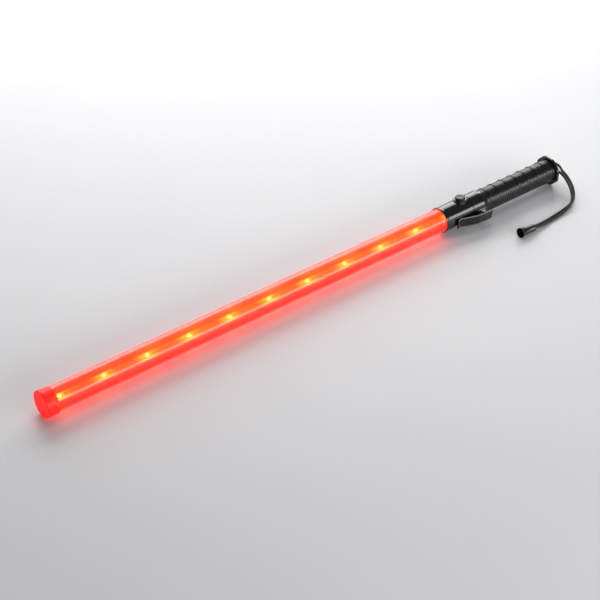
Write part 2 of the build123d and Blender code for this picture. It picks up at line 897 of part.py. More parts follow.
def make_clip_bracket():
    saddle_length = saddle_rear - saddle_front
    ear = [
        (pivot_station - ear_foot, saddle_height - ear_sink),
        (pivot_station + ear_foot, saddle_height - ear_sink),
        (pivot_station + ear_radius, pivot_height), (pivot_station - ear_radius, pivot_height),
    ]
    with BuildPart() as clip_bracket:
        with BuildSketch(facing((saddle_front + saddle_rear) / 2, body_radius, clip_angle)):
            RectangleRounded(saddle_length, clip_width, saddle_corner)
        extrude(amount=saddle_height - body_radius)
        for side in (-1, 1):
            with BuildSketch(clip_profile.offset(side * ear_offset)):
                Polygon(*ear, align=None)
                with Locations((pivot_station, pivot_height)):
                    Circle(ear_radius)
            extrude(amount=side * ear_thickness)
        with BuildSketch(profile):
            tube_outline(saddle_front - saddle_margin, saddle_rear + saddle_margin, 0, swell_radius + saddle_gap)
        revolve(axis=baton_axis, mode=Mode.SUBTRACT)
        with BuildSketch(clip_profile):
            with Locations((pivot_station, pivot_height)):
                Circle(pin_radius)
        extrude(amount=clip_width, both=True, mode=Mode.SUBTRACT)
        for station in (screw_front, screw_rear):
            with BuildSketch(facing(station, saddle_height, clip_angle)):
                Circle(screw_radius + pin_gap)
            extrude(amount=-saddle_height / 2, mode=Mode.SUBTRACT)
    finish(clip_bracket, "clip_bracket")


def make_clip_pin():
    with BuildPart() as clip_pin:
        with BuildSketch(clip_profile):
            with Locations((pivot_station, pivot_height)):
                Circle(pin_radius)
        extrude(amount=ear_offset + ear_thickness, both=True)
    finish(clip_pin, "clip_pin")


def make_clip_spring():
    """Torsion coil round the pin"""
    turn_width = 2 * (ear_offset - lug_side_gap - ear_thickness) - 4 * coil_wire
    centre = clip_profile.from_local_coords(Vector(pivot_station, pivot_height, -turn_width / 2))
    with BuildPart() as clip_spring:
        with BuildLine() as path:
            Helix(
                turn_width / spring_turns, turn_width, coil_radius,
                center=centre, direction=clip_profile.z_dir,
            )
        with BuildSketch(Plane(origin=path.line @ 0, z_dir=path.line % 0)):
            Circle(coil_wire)
        sweep(path=path.line)
    finish(clip_spring, "clip_spring")


def make_clip_screws():
    with BuildPart() as clip_screws:
        for station in (screw_front, screw_rear):
            with BuildSketch(facing(station, saddle_height, clip_angle)):
                Circle(screw_head_radius)
            extrude(amount=screw_head_height)
            with BuildSketch(facing(station, saddle_height, clip_angle)):
                Circle(screw_radius)
            extrude(amount=-screw_length)
    finish(clip_screws, "clip_screws")


# ---- wrist strap -------------------------------------------------------------------------------
strand_a_points = [Vector(eye.X + x, eye.Y + y, z) for x, y, z in strand_a_route]
strand_b_points = [Vector(eye.X + x, eye.Y + y, z) for x, y, z in strand_b_route]
strap_end = (strand_a_points[-1] + strand_b_points[-1]) * 0.5
strap_before = (strand_a_points[-2] + strand_b_points[-2]) * 0.5
bell_line = (strap_end - strap_before).normalized()
bell_profile = Plane(origin=strap_end, x_dir=bell_line, z_dir=bell_line.cross(Vector(0, 0, 1)))
bell_axis = Axis(strap_end, bell_line)


def make_strap_bell():
    """Flared cord end: a tight neck round both strands, open towards its mouth"""
    with BuildPart() as strap_bell:
        with BuildSketch(bell_profile):
            with BuildLine():
                Polyline(
                    (0, bell_neck_radius - bell_wall), (0, bell_bore), (-bell_neck_length, bell_bore),
                    (-bell_neck_length, bell_neck_radius), (0, bell_neck_radius),
                )
                ThreePointArc(
                    (0, bell_neck_radius), (bell_waist_length, bell_waist_radius),
                    (bell_length, bell_mouth_radius),
                )
                Line((bell_length, bell_mouth_radius), (bell_length, bell_mouth_radius - bell_wall))
                ThreePointArc(
                    (bell_length, bell_mouth_radius - bell_wall),
                    (bell_waist_length, bell_waist_radius - bell_wall), (0, bell_neck_radius - bell_wall),
                )
            make_face()
            fillet(vertices().sort_by_distance((-bell_neck_length, bell_neck_radius))[0], bell_neck_round)
        revolve(axis=bell_axis)
    finish(strap_bell, "strap_bell")


def make_strap_knot():
    """Knot inside the bell that both strands end in"""
    front = (knot_shoulder, knot_radius)
    rear = (knot_length - knot_shoulder, knot_radius)
    points = [
        (0, 0), (0, bell_bore - seal_gap), front, rear, (knot_length, knot_radius / 2), (knot_length, 0),
    ]
    with BuildPart() as strap_knot:
        with BuildSketch(bell_profile):
            outline(points, [(front, knot_front_round), (rear, knot_rear_round)])
        revolve(axis=bell_axis)
    finish(strap_knot, "strap_knot")


os.makedirs("parts", exist_ok=True)
make_tip_cap()
make_light_tube()
make_prism_sleeve()
make_led_board()
make_leds("leds_upper", button_angle)
make_leds("leds_lower", button_angle + 180)
make_resistors()
make_board_holder("tip_board_holder", cap_wall, board_start + holder_thickness, tip_holder_radius)
make_board_holder("head_board_holder", tube_end, tube_end + holder_thickness, head_holder_radius)
make_head_housing()
make_button_bezel()
make_push_button()
make_switch_plunger()
make_switch_body()
make_button_spring()
make_switch_board()
make_seam_ring()
make_handle_body()
make_grip_sleeve()
make_battery("battery_front", contact_rear)
make_battery("battery_rear", contact_rear + nub_height + cell_can)
make_front_contact()
make_ground_strip()
make_wires()
make_tail_cap()
make_tail_o_ring()
make_tail_contact()
make_tail_spring()
make_belt_clip()
make_clip_bracket()
make_clip_pin()
make_clip_spring()
make_clip_screws()
make_round_line(strand_a_points, cord_diameter / 2, "strap_strand_a")
make_round_line(strand_b_points, cord_diameter / 2, "strap_strand_b")
make_strap_bell()
make_strap_knot()
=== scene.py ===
"""Looks of an LED traffic baton: lit tube, ribbed grip, belt clip and braided wrist strap."""

import math

import bmesh
import bpy
import numpy as np
from mathutils import Matrix, Vector


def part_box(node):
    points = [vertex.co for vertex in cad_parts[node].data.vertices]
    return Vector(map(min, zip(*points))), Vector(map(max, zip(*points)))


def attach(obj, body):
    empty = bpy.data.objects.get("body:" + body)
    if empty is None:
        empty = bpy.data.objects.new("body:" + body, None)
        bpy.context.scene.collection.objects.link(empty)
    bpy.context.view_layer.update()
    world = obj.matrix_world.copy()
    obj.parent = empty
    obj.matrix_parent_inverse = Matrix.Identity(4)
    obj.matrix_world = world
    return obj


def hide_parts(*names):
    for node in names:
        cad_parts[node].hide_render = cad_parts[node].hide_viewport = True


bl_info = {
    "name": "Traffic baton",
    "version": (1, 0, 0),
    "blender": (4, 5, 0),
    "location": "View3D > Sidebar > Baton",
    "description": "Builds the finishes and the soft pieces of an LED traffic baton",
    "category": "Object",
}

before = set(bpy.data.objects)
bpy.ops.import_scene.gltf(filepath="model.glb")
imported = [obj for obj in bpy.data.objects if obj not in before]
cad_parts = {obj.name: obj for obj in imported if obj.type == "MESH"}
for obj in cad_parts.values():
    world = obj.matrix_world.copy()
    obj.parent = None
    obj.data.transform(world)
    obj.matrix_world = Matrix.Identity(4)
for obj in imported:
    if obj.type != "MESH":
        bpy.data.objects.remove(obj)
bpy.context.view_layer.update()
MM = 0.001


def middle(node):
    """Centre of a node's box"""
    low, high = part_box(node)
    return (low + high) / 2


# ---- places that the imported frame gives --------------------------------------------
TUBE_MIDDLE = middle("light_tube")
CAP_MIDDLE = middle("tip_cap")
TIP_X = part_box("tip_cap")[0].x
SLOPE = (TUBE_MIDDLE.z - CAP_MIDDLE.z) / (TUBE_MIDDLE.x - CAP_MIDDLE.x)
TILT = math.atan(SLOPE)
TIP = Vector((TIP_X, TUBE_MIDDLE.y, TUBE_MIDDLE.z - SLOPE * (TUBE_MIDDLE.x - TIP_X)))
BATON = Matrix.Translation(TIP) @ Matrix.Rotation(-TILT, 4, "Y")
LUG_RADIUS = 5.7 * MM
EYE = Vector((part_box("tail_cap")[1].x - LUG_RADIUS, middle("tail_cap").y, middle("tail_cap").z))
LED_BASE = 2.8 * MM
LED_COUNT = 10
LED_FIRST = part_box("leds_upper")[0].x + LED_BASE - TIP_X
LED_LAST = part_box("leds_upper")[1].x - LED_BASE - TIP_X
LED_PITCH = (LED_LAST - LED_FIRST) / (LED_COUNT - 1)

# ---- the rubber grip: stations from the tip, heights from the centre line ------------
GRIP_START = 727.2 * MM
GRIP_END = 864.3 * MM
GRIP_RADIUS = 16.55 * MM
GRIP_BORE = 15.6 * MM
GRIP_FIRST_RING = 737.0 * MM
GRIP_LIP_WIDTH = 5 * MM
GRIP_TAIL_WIDTH = 3 * MM
GRIP_STEPS_ALONG = 660
GRIP_STEPS_ROUND = 97
MERGE_DISTANCE = 0.01 * MM
# half widths of a ring's top and foot, as shares of the rings' pitch
RING_TOP = 0.045
RING_FOOT = 0.085
# sine of the angle round the grip where the rings are whole, and where they have faded away
RING_WHOLE = 0.75
RING_GONE = 0.2
RIBS_FOR_EACH_RING = 4.0
RIB_ROUNDNESS = 0.8
# parting line under the grip: where it is, and half widths of its top and foot, as angles
SEAM_ANGLE = math.radians(212.0)
SEAM_TOP = 0.03
SEAM_FOOT = 0.10

# ---- the braid ------------------------------------------------------------------------
YARN_SIDES = 6
CORE_SIDES = 10
# width of a yarn, as a share of its room on the cord
YARN_COVER = 0.78
# half the thickness of a yarn, as a share of the cord's diameter
YARN_FLATNESS = 0.085
# how far a yarn goes in and out, as a share of half its thickness
WEAVE_SWING = 0.72
STEPS_FOR_EACH_YARN = 4
ROUTE_STEPS = 16

# routes of the two strands of the strap: along and across from the eye, then height
STRAND_A = [
    (0, 0, 21.73), (0, -6.4, 21.73), (1.6, -13.0, 21.5), (0.5, -24.2, 20.3), (-2.8, -35.2, 17.4),
    (-6.6, -44.8, 14.0), (-11.8, -53.8, 11.2), (-18.9, -62.4, 8.8), (-28.8, -70.4, 6.6),
    (-45.2, -75.2, 3.2), (-64.6, -77.9, 2.2), (-84.8, -79.8, 2.2), (-105.2, -82.2, 5.2),
    (-120.2, -82.2, 6.2),
]
STRAND_B = [
    (0, 0, 21.73), (0, 6.8, 21.73), (3.9, 12.0, 21.73), (9.8, 12.3, 21.73), (13.4, 7.0, 21.8),
    (13.3, 0.0, 21.7), (10.9, -7.2, 21.6), (7.0, -14.0, 21.3), (5.4, -25.2, 19.7),
    (1.9, -36.8, 16.4), (-2.3, -47.2, 12.2), (-8.7, -56.4, 7.4), (-17.6, -63.6, 3.4),
    (-31.1, -67.6, 2.2), (-46.1, -70.1, 2.2), (-65.2, -72.9, 2.2), (-85.3, -74.9, 2.2),
    (-105.2, -77.8, 5.2), (-120.2, -77.8, 6.2),
]


class BatonSizes(bpy.types.PropertyGroup):
    """Sizes of the pieces that are made here"""

    cord_diameter: bpy.props.FloatProperty(
        name="Cord diameter", description="Thickness of one strand of the strap",
        default=4.3 * MM, unit="LENGTH",
    )
    braid_carriers: bpy.props.IntProperty(
        name="Braid carriers", description="Yarns that turn each way round the cord", default=6,
    )
    braid_lead: bpy.props.FloatProperty(
        name="Braid lead", description="Length in which a yarn goes once round the cord",
        default=13.0 * MM, unit="LENGTH",
    )
    rib_height: bpy.props.FloatProperty(
        name="Rib height", description="Height of the grip's fine ribs", default=0.45 * MM, unit="LENGTH",
    )
    ring_height: bpy.props.FloatProperty(
        name="Ring height", description="Height of the grip's proud rings", default=1.2 * MM, unit="LENGTH",
    )
    lip_height: bpy.props.FloatProperty(
        name="Lip height", description="Height of the grip's front lip", default=1.4 * MM, unit="LENGTH",
    )
    ring_pitch: bpy.props.FloatProperty(
        name="Ring pitch", description="Distance between the grip's proud rings",
        default=18.95 * MM, unit="LENGTH",
    )


class BatonColours(bpy.types.PropertyGroup):
    """Colours of the finishes"""

    tube: bpy.props.FloatVectorProperty(
        name="Tube", description="Red of the light tube",
        subtype="COLOR", size=3, default=(0.80, 0.018, 0.008),
    )
    glow: bpy.props.FloatVectorProperty(
        name="Glow", description="Light that the tube gives",
        subtype="COLOR", size=3, default=(1.0, 0.012, 0.008),
    )
    warm: bpy.props.FloatVectorProperty(
        name="Warm glow", description="Light near a diode",
        subtype="COLOR", size=3, default=(1.0, 0.30, 0.012),
    )
    diode: bpy.props.FloatVectorProperty(
        name="Diode", description="Light of a diode",
        subtype="COLOR", size=3, default=(1.0, 0.78, 0.10),
    )
    plastic: bpy.props.FloatVectorProperty(
        name="Plastic", description="Black moulded plastic",
        subtype="COLOR", size=3, default=(0.006, 0.006, 0.007),
    )
    rubber: bpy.props.FloatVectorProperty(
        name="Rubber", description="Black rubber of the grip",
        subtype="COLOR", size=3, default=(0.005, 0.005, 0.006),
    )
    cord: bpy.props.FloatVectorProperty(
        name="Cord", description="Yarn of the strap",
        subtype="COLOR", size=3, default=(0.012, 0.011, 0.011),
    )


# ---- shader maths --------------------------------------------------------------------
class Signal:
    """One value in a finish's node tree, for use in ordinary expressions"""

    def __init__(self, finish, socket):
        self.finish = finish
        self.socket = socket

    def maths(self, operation, *others):
        """This value and others put through a maths node"""
        return self.finish.node("ShaderNodeMath", {"operation": operation}, [self, *others])

    def __add__(self, other):
        return self.maths("ADD", other)

    def __radd__(self, other):
        return self.maths("ADD", other)

    def __sub__(self, other):
        return self.maths("SUBTRACT", other)

    def __rsub__(self, other):
        return self.finish.node("ShaderNodeMath", {"operation": "SUBTRACT"}, [other, self])

    def __mul__(self, other):
        return self.maths("MULTIPLY", other)

    def __truediv__(self, other):
        return self.maths("DIVIDE", other)

    def __pow__(self, other):
        return self.maths("POWER", other)

    def clamped(self):
        """This value, kept between 0 and 1"""
        return self.finish.node("ShaderNodeMath", {"operation": "ADD", "use_clamp": True}, [self, 0.0])


class Finish:
    """A material being made, with one Principled shader"""

    def __init__(self, name, **constants):
        self.material = bpy.data.materials.new(name)
        self.material.use_nodes = True
        self.tree = self.material.node_tree
        self.tree.nodes.clear()
        self.shader = self.tree.nodes.new("ShaderNodeBsdfPrincipled")
        output = self.tree.nodes.new("ShaderNodeOutputMaterial")
        self.tree.links.new(self.shader.outputs["BSDF"], output.inputs["Surface"])
        for key, value in constants.items():
            self.feed(self.shader, key.replace("_", " "), value)

    def feed(self, node, key, value):
        """Put a value or a link on a socket"""
        socket = node.inputs[key]
        if isinstance(value, Signal):
            self.tree.links.new(value.socket, socket)
        elif hasattr(value, "__len__"):
            numbers = [float(x) for x in value]
            if len(numbers) < len(socket.default_value):
                numbers.append(1.0)
            socket.default_value = numbers
        else:
            socket.default_value = value

    def node(self, kind, settings=None, inputs=(), output=0):
        """A node of a kind: its settings first, then the values or links of its sockets"""
        node = self.tree.nodes.new(kind)
        for key, value in (settings or {}).items():
            if key == "stops":
                self.set_stops(node.color_ramp, value)
            else:
                setattr(node, key, value)
        pairs = inputs.items() if isinstance(inputs, dict) else enumerate(inputs)
        for key, value in pairs:
            self.feed(node, key, value)
        return Signal(self, node.outputs[output])

    @staticmethod
    def set_stops(ramp, stops):
        """Place a ramp's stops: position, then grey or colour"""
        while len(ramp.elements) < len(stops):
            ramp.elements.new(1.0)
        for element, (position, value) in zip(ramp.elements, stops):
            element.position = position
            element.color = (value, value, value, 1.0) if isinstance(value, float) else (*value, 1.0)

    def set(self, **inputs):
        """Give the Principled shader what varies over the surface"""
        for key, value in inputs.items():
            self.feed(self.shader, key.replace("_", " "), value)

    def place(self):
        """Object coordinates, in metres in the frame of the whole baton"""
        return self.node("ShaderNodeTexCoord", output="Object")

    def along_baton(self):
        """Station, side and height from the baton's own centre line"""
        mapped = self.node(
            "ShaderNodeMapping", {"vector_type": "TEXTURE"},
            {"Vector": self.place(), "Location": TIP, "Rotation": (0.0, -TILT, 0.0)},
        )
        split = self.node("ShaderNodeSeparateXYZ", None, [mapped])
        parts = split.socket.node.outputs
        return [Signal(self, parts[i]) for i in range(3)]

    def stretched(self, scale):
        """Object coordinates stretched by a scale for each axis"""
        inputs = {"Vector": self.place(), "Scale": scale}
        return self.node("ShaderNodeMapping", {"vector_type": "POINT"}, inputs)

    def noise(self, scale, detail=3.0, roughness=0.5, vector=None):
        """Smooth noise from 0 to 1, with its scale in marks a metre"""
        inputs = {"Vector": vector or self.place(), "Scale": scale, "Detail": detail, "Roughness": roughness}
        return self.node("ShaderNodeTexNoise", {"noise_dimensions": "3D"}, inputs)

    def ramp(self, value, stops):
        """Grey or colour by position between stops"""
        return self.node("ShaderNodeValToRGB", {"stops": stops}, [value])

    def mix(self, share, first, second):
        """Colour between two colours"""
        node = self.tree.nodes.new("ShaderNodeMix")
        node.data_type = "RGBA"
        self.feed(node, 0, share)
        self.feed(node, 6, first)
        self.feed(node, 7, second)
        return Signal(self, node.outputs[2])

    def bump(self, height, distance, strength):
        """Normal that follows a height"""
        inputs = {"Height": height, "Distance": distance, "Strength": strength}
        return self.node("ShaderNodeBump", None, inputs)


def darker(colour, share):
    """A colour at a share of its brightness"""
    return tuple(channel * share for channel in colour)


# ---- finishes --------------------------------------------------------------------------
def moulded_plastic(name, colour, roughness=0.36, grain=0.03, coat=0.0):
    """Moulded plastic: fine grain, soft sheen marks from handling, faint scratches"""
    finish = Finish(name, IOR=1.5, Coat_Roughness=0.12)
    patches = finish.noise(scale=55.0, detail=4.0)
    fine = finish.noise(scale=2600.0, detail=2.0, roughness=0.6)
    lengthwise = finish.stretched((0.12, 1.0, 1.0))
    scratches = finish.noise(scale=420.0, detail=5.0, roughness=0.7, vector=lengthwise)
    scratch_mask = finish.ramp(scratches, [(0.0, 0.0), (0.60, 0.0), (0.68, 1.0)])
    finish.set(
        Base_Color=finish.mix(patches, darker(colour, 0.8), darker(colour, 1.35)),
        Roughness=roughness - 0.05 + patches * 0.1 + scratch_mask * 0.10,
        Coat_Weight=coat,
        Normal=finish.bump(fine + scratch_mask * 0.6, distance=grain * MM, strength=0.6),
    )
    return finish.material


def soft_rubber(name, colour, roughness=0.5):
    """Matt rubber with a fine tooth and a dusty bloom in places"""
    finish = Finish(name, IOR=1.48)
    tooth = finish.noise(scale=3800.0, detail=2.0, roughness=0.7)
    bloom = finish.noise(scale=38.0, detail=5.0, roughness=0.6)
    finish.set(
        Base_Color=finish.mix(bloom, colour, darker(colour, 1.9)),
        Roughness=roughness - 0.08 + bloom * 0.16,
        Normal=finish.bump(tooth, distance=0.03 * MM, strength=0.5),
    )
    return finish.material


def metal(name, colour, roughness=0.25):
    """Drawn metal with fine lines along it"""
    finish = Finish(name, Metallic=1.0)
    drawn = finish.stretched((1.0, 0.05, 1.0))
    lines = finish.noise(scale=2400.0, detail=3.0, roughness=0.6, vector=drawn)
    tarnish = finish.noise(scale=120.0, detail=4.0)
    finish.set(
        Base_Color=finish.mix(tarnish, darker(colour, 0.8), colour),
        Roughness=roughness - 0.06 + lines * 0.18,
        Normal=finish.bump(lines, distance=0.01 * MM, strength=0.4),
    )
    return finish.material


def diode_nearness(station, reach):
    """1 at a diode's station, falling to 0 at a reach from it"""
    phase = (station - LED_FIRST) / LED_PITCH
    off = (phase - phase.maths("ROUND")).maths("ABSOLUTE") * LED_PITCH
    return (1 - off / reach).clamped()


def growth(station, none, full):
    """0 at one station, rising to 1 at another, both in millimetres from the tip"""
    return ((station - none * MM) / ((full - none) * MM)).clamped()


def lit_side(side, height, angle, gain, loss):
    """1 on the side that faces an angle, where 0 is at the clip and 90 at the top, and 0 on the far side"""
    radius = (side * side + height * height) ** 0.5
    turn = math.radians(angle)
    return ((height * math.sin(turn) - side * math.cos(turn)) / radius * gain - loss).clamped()


def tube_red(colours):
    """Translucent red tube, lit from inside, with a polished skin"""
    finish = Finish(
        "tube_red", IOR=1.49, Emission_Strength=1.0, Roughness=0.26, Coat_Weight=0.6, Coat_Roughness=0.1,
    )
    station, side, height = finish.along_baton()
    lit = lit_side(side, height, angle=66.0, gain=2.2, loss=1.15)
    near = diode_nearness(station, reach=30 * MM)
    lengthwise = finish.stretched((0.03, 1.0, 1.0))
    streaks = finish.noise(scale=160.0, detail=3.0, roughness=0.6, vector=lengthwise)
    ends = growth(station, none=30, full=180) * growth(station, none=690, full=580)
    warmth = (lit * (0.10 + ends * 0.18 + near * ends * 0.22) + streaks * 0.05).clamped()
    finish.set(
        Base_Color=colours.tube,
        Emission_Color=finish.mix(warmth, colours.glow, colours.warm),
        Alpha=0.44 + streaks * 0.08,
        Normal=finish.bump(finish.noise(scale=70.0, detail=2.0), distance=0.04 * MM, strength=0.2),
    )
    return finish.material


def tip_red(colours):
    """Red cap on the tube's tip, a shade deeper than the tube"""
    finish = Finish("tip_red", IOR=1.4, Emission_Strength=0.86, Roughness=0.4)
    station, _, _ = finish.along_baton()
    glints = finish.ramp(finish.noise(scale=190.0, detail=3.0), [(0.0, 0.0), (0.56, 0.0), (0.72, 1.0)])
    inward = growth(station, none=4, full=34)
    finish.set(
        Base_Color=darker(colours.tube, 0.6),
        Emission_Color=finish.mix((glints * inward * 0.8).clamped(), colours.glow, colours.warm),
        Alpha=0.82 - inward * 0.2,
        Normal=finish.bump(finish.noise(scale=900.0, detail=2.0), distance=0.02 * MM, strength=0.3),
    )
    return finish.material


def prism_glow(colours):
    """Ribbed diffuser that carries the light of the diodes"""
    finish = Finish("prism_glow", IOR=1.49, Emission_Strength=1.1, Roughness=0.3)
    station, side, height = finish.along_baton()
    near = diode_nearness(station, reach=26 * MM)
    lit = lit_side(side, height, angle=60.0, gain=2.6, loss=1.5)
    lengthwise = finish.stretched((0.05, 1.0, 1.0))
    grain = finish.noise(scale=300.0, detail=3.0, roughness=0.6, vector=lengthwise)
    warmth = (lit * (near * near * 0.55 + 0.12) + grain * 0.10 - 0.03).clamped()
    finish.set(
        Base_Color=colours.tube,
        Emission_Color=finish.mix(warmth, colours.glow, colours.warm),
        Alpha=0.22 + grain * 0.10,
    )
    return finish.material


def board_glow(colours):
    """Circuit board, bathed in the light of its diodes"""
    amber = (1.0, 0.62, 0.03)
    finish = Finish("board_glow", Emission_Strength=4.4, Roughness=0.45)
    station, _, _ = finish.along_baton()
    near = diode_nearness(station, reach=18 * MM)
    tracks = finish.node(
        "ShaderNodeTexBrick", {"offset": 0.5},
        {"Vector": finish.place(), "Scale": 90.0, "Color1": (0.75, 0.6, 0.3),
         "Color2": (0.5, 0.4, 0.2), "Mortar": (0.15, 0.3, 0.1), "Mortar Size": 0.03},
    )
    finish.set(
        Base_Color=tracks,
        Emission_Color=finish.mix((near * 1.3).clamped(), darker(colours.warm, 0.3), amber),
    )
    return finish.material


def diode_light(colours):
    """Lens of a lit diode"""
    pale_yellow = (1.0, 0.92, 0.35)
    finish = Finish("diode_light", Emission_Strength=7.0, Roughness=0.1, Coat_Weight=1.0)
    core = finish.noise(scale=900.0, detail=1.0)
    finish.set(Base_Color=colours.diode, Emission_Color=finish.mix(core, colours.diode, pale_yellow))
    return finish.material


def cell_wrap():
    """Printed can of a dry cell, plain bands and no marks"""
    black = (0.02, 0.02, 0.022)
    copper = (0.55, 0.30, 0.06)
    bands_a_metre = 42.0
    finish = Finish("cell_wrap", Metallic=0.4, Coat_Weight=0.5, Coat_Roughness=0.1)
    station, _, _ = finish.along_baton()
    phase = (station * bands_a_metre).maths("FRACT")
    finish.set(
        Base_Color=finish.ramp(phase, [(0.0, black), (0.70, black), (0.71, copper)]),
        Roughness=0.28 + finish.noise(scale=500.0) * 0.12,
    )
    return finish.material


def braided_yarn(colours):
    """Polyester yarn: fine filaments along each yarn, with painted highlights: the filament bands are
    lighter, as if they caught the light
    """
    finish = Finish("braided_yarn", Sheen_Weight=0.25, Sheen_Roughness=0.5, IOR=1.45)
    filaments = finish.node(
        "ShaderNodeTexWave", {"wave_type": "BANDS", "bands_direction": "Y"},
        {"Vector": finish.node("ShaderNodeTexCoord", output="UV"), "Scale": 3.2, "Distortion": 1.2,
         "Detail": 2.0},
    )
    fuzz = finish.noise(scale=1500.0, detail=3.0)
    # painted highlight: the filament bands lighten the yarn's colour everywhere, mixed with a little random
    # fuzz
    painted_highlight_and_fuzz = filaments * 0.7 + fuzz * 0.3
    finish.set(
        Base_Color=finish.mix(painted_highlight_and_fuzz, darker(colours.cord, 0.55), darker(colours.cord, 2.4)),
        Roughness=0.46 + fuzz * 0.24,
        Normal=finish.bump(filaments + fuzz * 0.4, distance=0.05 * MM, strength=0.7),
    )
    return finish.material


# ---- mesh helpers ------------------------------------------------------------------------
def give(material, *nodes):
    """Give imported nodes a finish"""
    for name in nodes:
        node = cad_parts[name]
        node.data.materials.clear()
        node.data.materials.append(material)


def add_piece(name, mesh, material, body, slot, *replaced):
    """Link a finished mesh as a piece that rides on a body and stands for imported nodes"""
    piece = bpy.data.objects.new(name, mesh)
    bpy.context.scene.collection.objects.link(piece)
    mesh.materials.clear()
    mesh.materials.append(material)
    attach(piece, body)
    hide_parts(*replaced)
    return piece


def smooth(mesh):
    """Shade a mesh smooth"""
    mesh.polygons.foreach_set("use_smooth", [True] * len(mesh.polygons))
    mesh.update()


def route_points(route):
    """Smooth line that has the route's points as its control points"""
    curve = bpy.data.curves.new("route", "CURVE")
    curve.dimensions = "3D"
    spline = curve.splines.new("NURBS")
    spline.points.add(len(route) - 1)
    for point, (x, y, z) in zip(spline.points, route):
        point.co = (EYE.x + x * MM, EYE.y + y * MM, z * MM, 1.0)
    spline.order_u = 3
    spline.use_endpoint_u = True
    spline.resolution_u = ROUTE_STEPS
    holder = bpy.data.objects.new("route", curve)
    mesh = bpy.data.meshes.new_from_object(holder)
    points = [vertex.co.copy() for vertex in mesh.vertices]
    bpy.data.meshes.remove(mesh)
    bpy.data.objects.remove(holder)
    bpy.data.curves.remove(curve)
    return points


def even_steps(points, step):
    """The same line in even steps"""
    line = np.array(points)
    lengths = np.concatenate([[0.0], np.cumsum(np.linalg.norm(np.diff(line, axis=0), axis=1))])
    count = max(2, int(round(lengths[-1] / step)) + 1)
    places = np.linspace(0.0, lengths[-1], count)
    even = np.stack([np.interp(places, lengths, line[:, axis]) for axis in range(3)], axis=1)
    return even, places


def line_frames(line):
    """Two square directions at each point of a line, carried along without twist"""
    tangents = np.gradient(line, axis=0)
    tangents /= np.linalg.norm(tangents, axis=1)[:, None]
    side = np.cross(tangents[0], (0.0, 0.0, 1.0))
    sides = []
    for tangent in tangents:
        side = side - tangent * (side @ tangent)
        side = side / np.linalg.norm(side)
        sides.append(side)
    sides = np.array(sides)
    return sides, np.cross(tangents, sides)


def braid_mesh(name, points, diameter, carriers, lead):
    """Round braid: yarns that turn both ways and pass over and under each other"""
    line, places = even_steps(points, lead / carriers / STEPS_FOR_EACH_YARN)
    sides, ups = line_frames(line)
    width = math.pi * diameter / (2 * carriers) * YARN_COVER
    half_thick = diameter * YARN_FLATNESS
    core = diameter / 2 - (2 + WEAVE_SWING) * half_thick
    turns = 2 * math.pi * places / lead
    verts = []
    faces = []
    coords = []
    for way in (1, -1):
        half_step = 0.5 if way < 0 else 0.0
        over_first = 0.0 if way > 0 else math.pi
        for carrier in range(carriers):
            angles = way * turns + 2 * math.pi * (carrier + half_step) / carriers
            radii = core + half_thick * (1.0 + WEAVE_SWING * np.cos(carriers * turns + over_first))
            out = np.cos(angles)[:, None] * sides + np.sin(angles)[:, None] * ups
            centres = line + out * radii[:, None]
            run = np.gradient(centres, axis=0)
            run /= np.linalg.norm(run, axis=1)[:, None]
            across = np.cross(run, out)
            start = len(verts)
            for i, centre in enumerate(centres):
                for k in range(YARN_SIDES):
                    turn = 2 * math.pi * k / YARN_SIDES
                    offset = across[i] * (math.cos(turn) * width / 2)
                    offset += out[i] * (math.sin(turn) * half_thick)
                    verts.append(centre + offset)
                    coords.append((places[i] / width, 2.0 * k / YARN_SIDES))
            join_rings(faces, start, len(centres), YARN_SIDES)
    add_core(verts, faces, coords, line, sides, ups, core)
    mesh = bpy.data.meshes.new(name)
    mesh.from_pydata([tuple(v) for v in verts], [], faces)
    layer = mesh.uv_layers.new(name="UVMap")
    for loop in mesh.loops:
        layer.data[loop.index].uv = coords[loop.vertex_index]
    turn_outwards(mesh)
    smooth(mesh)
    return mesh


def add_core(verts, faces, coords, line, sides, ups, radius):
    """Dark core inside the braid, so that no gap shows through it"""
    start = len(verts)
    for i, centre in enumerate(line):
        for k in range(CORE_SIDES):
            turn = 2 * math.pi * k / CORE_SIDES
            verts.append(centre + (sides[i] * math.cos(turn) + ups[i] * math.sin(turn)) * radius)
            coords.append((i / STEPS_FOR_EACH_YARN, 2.0 * k / CORE_SIDES))
    join_rings(faces, start, len(line), CORE_SIDES)


def join_rings(faces, start, count, around):
    """Walls between rings of vertices that follow each other, and a face at each end"""
    for i in range(count - 1):
        for k in range(around):
            a = start + i * around + k
            b = start + i * around + (k + 1) % around
            faces.append((a, b, b + around, a + around))
    faces.append(tuple(start + k for k in reversed(range(around))))
    faces.append(tuple(start + (count - 1) * around + k for k in range(around)))


def turn_outwards(mesh):
    """Make every closed shell's faces point outwards"""
    shape = bmesh.new()
    shape.from_mesh(mesh)
    bmesh.ops.recalc_face_normals(shape, faces=shape.faces)
    shape.to_mesh(mesh)
    shape.free()


